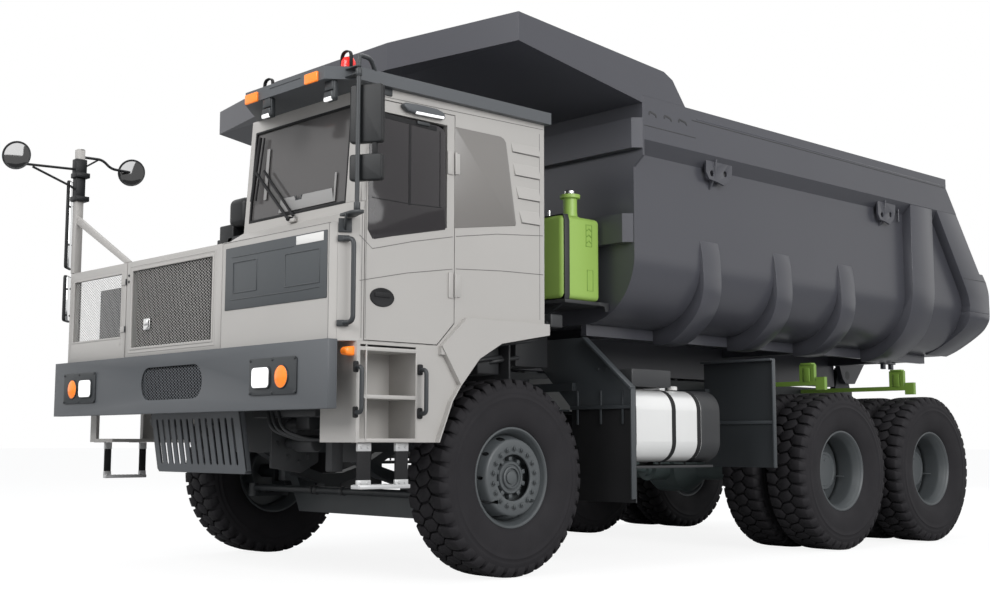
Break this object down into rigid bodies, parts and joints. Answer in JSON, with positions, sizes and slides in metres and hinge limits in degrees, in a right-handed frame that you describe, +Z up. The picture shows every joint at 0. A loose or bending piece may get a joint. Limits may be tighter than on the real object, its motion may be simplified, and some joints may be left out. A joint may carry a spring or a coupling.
{
  "type": "mining dump truck",
  "caption": "Rigid off-highway mining dump truck with offset cab, tipping body with cab canopy, steered front wheels and twin-wheel rear axles.",
  "frame": {"origin": "on the ground under the middle of the overall length and width", "axes": "+X to the truck's left, the driver's side; the front faces -Y; +Z up"},
  "size_m": [4.4068, 9.5798, 4.2348],
  "materials": {
    "body_paint": "satin",
    "cab_paint": "satin",
    "dark_paint": "satin",
    "black_steel": "satin",
    "green_paint": "satin",
    "tank_metal": "polished",
    "tyre_rubber": "matte",
    "axle_grey": "matte",
    "rubber": "matte",
    "glass": "gloss",
    "seat_fabric": "matte",
    "chrome": "polished"
  },
  "bodies": {
    "chassis": {"chassis_frame": "black_steel", "engine": "axle_grey", "gearbox_and_shafts": "axle_grey", "front_axle_beam": "black_steel", "axle_two_casing": "axle_grey", "axle_three_casing": "axle_grey", "front_springs": "black_steel", "rear_springs": "black_steel", "front_bumper": "dark_paint", "skid_guard": "dark_paint", "fence_screen": "cab_paint", "nose_panel": "cab_paint", "cab_shell": "cab_paint", "cab_windows": "glass", "cab_roof_visor": "dark_paint", "driver_seat": "seat_fabric", "steering_console": "black_steel", "left_fender": "cab_paint", "right_fender": "cab_paint", "engine_deck": "cab_paint", "radiator": "axle_grey", "air_filter": "dark_paint", "deck_box": "cab_paint", "mirror_mast": "cab_paint", "left_mirrors": "black_steel", "fuel_tanks": "tank_metal", "hydraulic_tank": "green_paint", "mud_guards": "rubber", "rock_ejectors": "green_paint"},
    "grille_door": {"grille_door": "cab_paint"},
    "cab_door": {"cab_door": "cab_paint", "door_glass": "glass"},
    "left_knuckle": {"left_knuckle": "black_steel"},
    "right_knuckle": {"right_knuckle": "black_steel"},
    "tie_rod": {"tie_rod": "chrome"},
    "dump_body": {"dump_tub": "body_paint", "dump_front_wall": "body_paint", "dump_canopy": "body_paint", "dump_ribs": "body_paint", "dump_sills": "body_paint"},
    "hoist_barrels": {"hoist_barrels": "black_steel"},
    "hoist_rods": {"hoist_rods": "chrome"},
    "front_left_wheel": {"front_left_wheel": "tyre_rubber"},
    "front_right_wheel": {"front_right_wheel": "tyre_rubber"},
    "axle_two_left_wheels": {"axle_two_left_wheels": "tyre_rubber"},
    "axle_two_right_wheels": {"axle_two_right_wheels": "tyre_rubber"},
    "axle_three_left_wheels": {"axle_three_left_wheels": "tyre_rubber"},
    "axle_three_right_wheels": {"axle_three_right_wheels": "tyre_rubber"}
  },
  "joints": [
    {"name": "left_steering", "type": "hinge", "parent": "chassis", "child": "left_knuckle", "pos_m": [1.215, -2.31, 0.7465], "axis": [0, 0, 1], "range_deg": [-32, 32]},
    {"name": "right_steering", "type": "hinge", "parent": "chassis", "child": "right_knuckle", "pos_m": [-1.215, -2.31, 0.7465], "axis": [0, 0, 1], "range_deg": [-32, 32]},
    {"name": "tie_rod_slide", "type": "slide", "parent": "chassis", "child": "tie_rod", "axis": [1, 0, 0], "range_m": [-0.19077, 0.19077]},
    {"name": "front_left_spin", "type": "hinge", "parent": "left_knuckle", "child": "front_left_wheel", "pos_m": [1.585, -2.31, 0.7465], "axis": [1, 0, 0], "continuous": true},
    {"name": "front_right_spin", "type": "hinge", "parent": "right_knuckle", "child": "front_right_wheel", "pos_m": [-1.585, -2.31, 0.7465], "axis": [1, 0, 0], "continuous": true},
    {"name": "axle_two_left_spin", "type": "hinge", "parent": "chassis", "child": "axle_two_left_wheels", "pos_m": [1.6, 1.81, 0.7465], "axis": [1, 0, 0], "continuous": true},
    {"name": "axle_two_right_spin", "type": "hinge", "parent": "chassis", "child": "axle_two_right_wheels", "pos_m": [-1.6, 1.81, 0.7465], "axis": [1, 0, 0], "continuous": true},
    {"name": "axle_three_left_spin", "type": "hinge", "parent": "chassis", "child": "axle_three_left_wheels", "pos_m": [1.6, 3.5, 0.7465], "axis": [1, 0, 0], "continuous": true},
    {"name": "axle_three_right_spin", "type": "hinge", "parent": "chassis", "child": "axle_three_right_wheels", "pos_m": [-1.6, 3.5, 0.7465], "axis": [1, 0, 0], "continuous": true},
    {"name": "dump_bed", "type": "hinge", "parent": "chassis", "child": "dump_body", "pos_m": [0, 4.35, 1.8], "axis": [-1, 0, 0], "range_deg": [0, 45]},
    {"name": "hoist_swing", "type": "hinge", "parent": "chassis", "child": "hoist_barrels", "pos_m": [0, 3.19, 0.85], "axis": [-1, 0, 0], "range_deg": [0, 39.43]},
    {"name": "hoist_stroke", "type": "slide", "parent": "hoist_barrels", "child": "hoist_rods", "axis": [0, -0.7568, 0.6536], "range_m": [0, 1.132]},
    {"name": "cab_door_hinge", "type": "hinge", "parent": "chassis", "child": "cab_door", "pos_m": [2.012, -3.122, 2.52], "axis": [0, 0, 1], "range_deg": [0, 75]},
    {"name": "grille_hinge", "type": "hinge", "parent": "chassis", "child": "grille_door", "pos_m": [-0.91, -4.148, 2.07], "axis": [0, 0, -1], "range_deg": [0, 100]}
  ],
  "couplings": [
    {"joint": "right_steering", "follows": "left_steering", "ratio": 1},
    {"joint": "tie_rod_slide", "follows": "left_steering", "m_per_rad": 0.34157},
    {"joint": "hoist_swing", "follows": "dump_bed", "ratio": 0.87621},
    {"joint": "hoist_stroke", "follows": "dump_bed", "m_per_rad": 1.4413}
  ]
}
